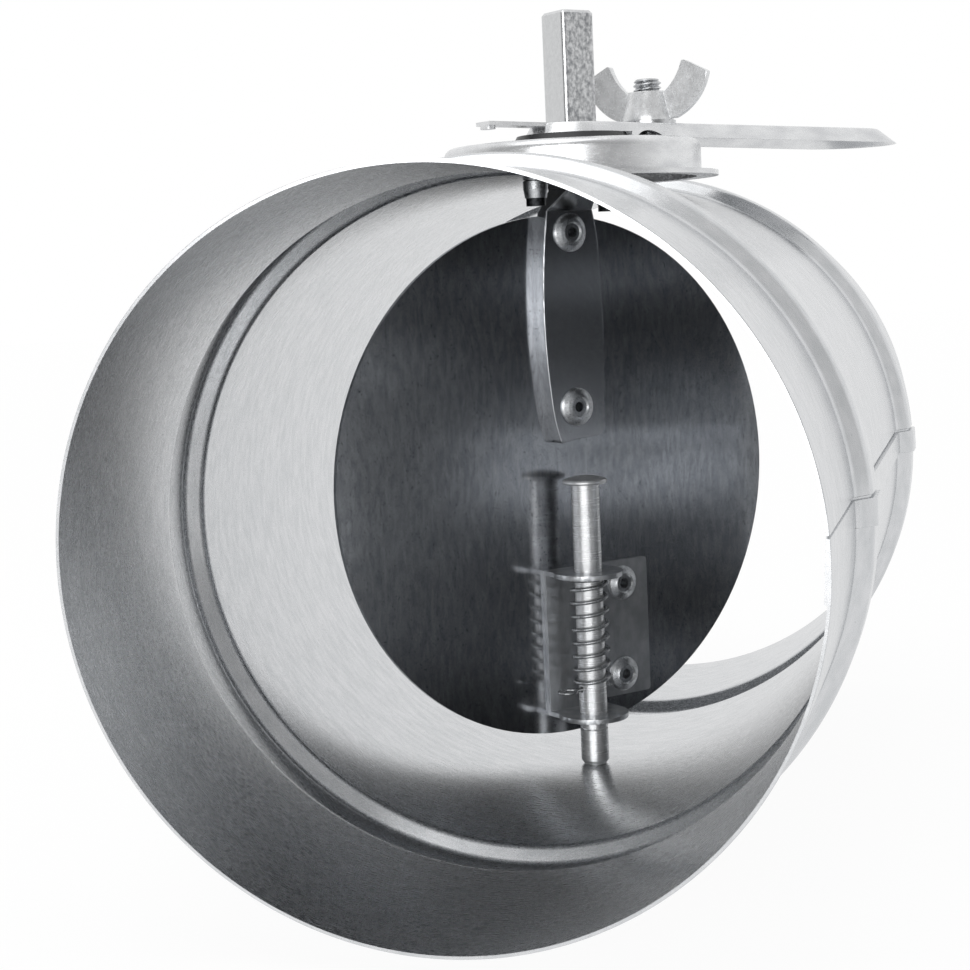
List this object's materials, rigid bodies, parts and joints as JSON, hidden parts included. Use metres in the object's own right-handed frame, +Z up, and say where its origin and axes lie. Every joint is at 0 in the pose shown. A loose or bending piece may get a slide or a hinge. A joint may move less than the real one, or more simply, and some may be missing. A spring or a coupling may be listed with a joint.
{
  "type": "volume control damper",
  "caption": "Round duct damper: beaded tube with a blade on a square shaft, lever, arc slot, wing nut lock and sprung pivot pin.",
  "frame": {"origin": "on the duct axis, where the blade's axis of rotation crosses it", "axes": "+Y along the duct from the end nearest the viewer to the far end, +X to the right, +Z up the shaft to its square end"},
  "size_m": [0.1316, 0.216, 0.1628],
  "materials": {
    "galvanised_sheet": "satin zinc coated sheet",
    "plated_pressing": "bright zinc plated pressing",
    "blade_sheet": "bright zinc coated sheet with a faint rolled grain",
    "plated_bar": "zinc plated square bar",
    "bush_plastic": "dark moulded plastic",
    "lever_pressing": "bright zinc plated pressing",
    "fastener_steel": "zinc plated",
    "nut_steel": "zinc plated",
    "bracket_sheet": "zinc coated sheet",
    "pin_steel": "bright zinc plated, turned",
    "wire_steel": "drawn wire",
    "rivet_aluminium": "satin",
    "mandrel_steel": "dull, broken off"
  },
  "bodies": {
    "housing": {"duct_body": "galvanised_sheet", "handle_base": "plated_pressing", "base_rivet_near": "rivet_aluminium", "base_rivet_far": "rivet_aluminium", "base_mandrel_near": "mandrel_steel", "base_mandrel_far": "mandrel_steel"},
    "blade_assembly": {"blade": "blade_sheet", "drive_shaft": "plated_bar", "shaft_bush": "bush_plastic", "lever": "lever_pressing", "clamp_bolt": "fastener_steel", "pin_bracket": "bracket_sheet", "pin_spring": "wire_steel", "tang_rivet_upper": "rivet_aluminium", "tang_rivet_lower": "rivet_aluminium", "tang_mandrel_upper": "mandrel_steel", "tang_mandrel_lower": "mandrel_steel", "bracket_rivet_upper": "rivet_aluminium", "bracket_rivet_lower": "rivet_aluminium", "bracket_mandrel_upper": "mandrel_steel", "bracket_mandrel_lower": "mandrel_steel"},
    "pivot_pin": {"pivot_pin": "pin_steel", "split_pin": "wire_steel"},
    "clamp_washer": {"clamp_washer": "fastener_steel"},
    "wing_nut": {"wing_nut": "nut_steel"}
  },
  "joints": [
    {"name": "blade_turn", "type": "hinge", "parent": "housing", "child": "blade_assembly", "pos_m": [0, 0, 0], "axis": [0, 0, 1], "range_deg": [-48.9, 41.1]},
    {"name": "pin_pull", "type": "slide", "parent": "blade_assembly", "child": "pivot_pin", "axis": [0, 0, 1], "range_m": [0, 0.0055], "stiffness_N_per_m": 1170, "springref_m": -0.005, "deforming": ["pin_spring"]},
    {"name": "washer_lift", "type": "slide", "parent": "blade_assembly", "child": "clamp_washer", "axis": [0, 0, 1], "range_m": [0, 0.0011]},
    {"name": "nut_turn", "type": "hinge", "parent": "clamp_washer", "child": "wing_nut", "pos_m": [0.01348, 0.01545, 0.077], "axis": [0, 0, 1], "range_deg": [0, 360]}
  ],
  "couplings": [
    {"joint": "washer_lift", "follows": "nut_turn", "m_per_rad": 0.00015915}
  ]
}
